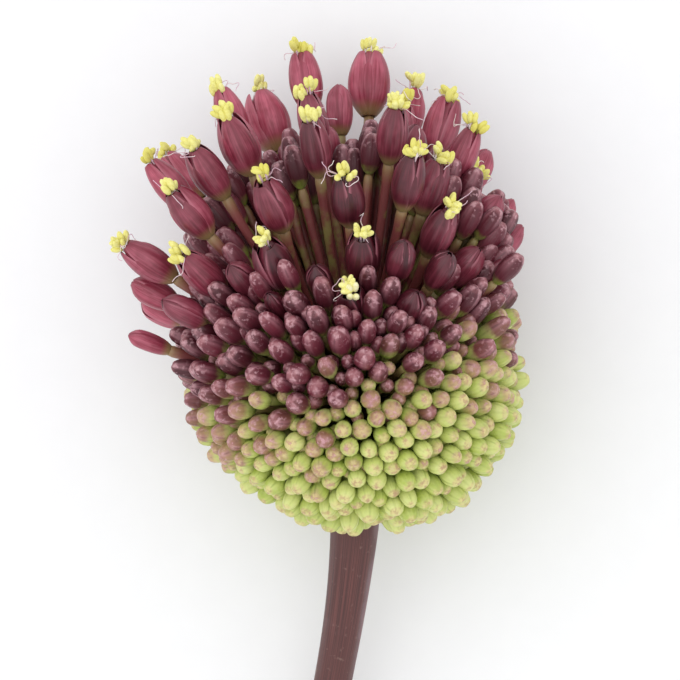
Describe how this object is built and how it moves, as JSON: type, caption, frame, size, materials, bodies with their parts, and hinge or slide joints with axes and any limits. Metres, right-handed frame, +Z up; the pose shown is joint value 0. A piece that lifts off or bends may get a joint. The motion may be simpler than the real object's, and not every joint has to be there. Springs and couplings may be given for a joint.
{
  "type": "allium flower head",
  "caption": "Cut ornamental onion umbel on a short leafless stem, lying on its side: a ball of green and purple buds with a crest of long-stalked open flowers.",
  "frame": {"origin": "centre of the bounding box's base, on the surface that the flower head lies on", "axes": "+Y runs from the cut end of the stem towards the crest, +Z is up, out of the face of the umbel that looks up, and +X is to the right seen from above with the crest away from the viewer"},
  "size_m": [0.048, 0.097, 0.04],
  "materials": {
    "scape": "satin",
    "crest_tepals": "satin",
    "purple_buds": "satin",
    "green_buds": "satin",
    "flower_stalks": "satin",
    "anthers": "matte",
    "filaments": "matte"
  },
  "bodies": {
    "root": {"crest_flower_01": "crest_tepals", "crest_flower_02": "crest_tepals", "crest_flower_03": "crest_tepals", "crest_flower_04": "crest_tepals", "crest_flower_05": "crest_tepals", "crest_flower_06": "crest_tepals", "crest_flower_07": "crest_tepals", "crest_flower_08": "crest_tepals", "crest_flower_09": "crest_tepals", "crest_flower_10": "crest_tepals", "crest_flower_11": "crest_tepals", "crest_flower_12": "crest_tepals", "crest_flower_13": "crest_tepals", "crest_flower_14": "crest_tepals", "crest_flower_15": "crest_tepals", "crest_flower_16": "crest_tepals", "crest_flower_17": "crest_tepals", "crest_flower_18": "crest_tepals", "crest_flower_19": "crest_tepals", "crest_flower_20": "crest_tepals", "crest_flower_21": "crest_tepals", "crest_flower_22": "crest_tepals", "crest_flower_23": "crest_tepals", "crest_flower_24": "crest_tepals", "crest_flower_25": "crest_tepals", "crest_flower_26": "crest_tepals", "crest_flower_27": "crest_tepals", "crest_flower_28": "crest_tepals", "crest_flower_29": "crest_tepals", "crest_flower_30": "crest_tepals", "crest_flower_31": "crest_tepals", "crest_flower_32": "crest_tepals", "crest_flower_33": "crest_tepals", "crest_flower_34": "crest_tepals", "crest_flower_35": "crest_tepals", "crest_flower_36": "crest_tepals", "crest_flower_37": "crest_tepals", "crest_flower_38": "crest_tepals", "crest_flower_39": "crest_tepals", "crest_flower_40": "crest_tepals", "crest_flower_41": "crest_tepals", "crest_flower_42": "crest_tepals", "crest_flower_43": "crest_tepals", "crest_flower_44": "crest_tepals", "crest_flower_45": "crest_tepals", "crest_flower_46": "crest_tepals", "crest_flower_47": "crest_tepals", "crest_flower_48": "crest_tepals", "crest_flower_49": "crest_tepals", "crest_flower_50": "crest_tepals", "crest_flower_51": "crest_tepals", "green_buds_tier_1": "green_buds", "green_buds_tier_2": "green_buds", "green_buds_tier_3": "green_buds", "green_buds_tier_4": "green_buds", "green_buds_tier_5": "green_buds", "purple_buds_tier_1": "purple_buds", "purple_buds_tier_2": "purple_buds", "purple_buds_tier_3": "purple_buds", "scape": "scape"}
  },
  "joints": []
}
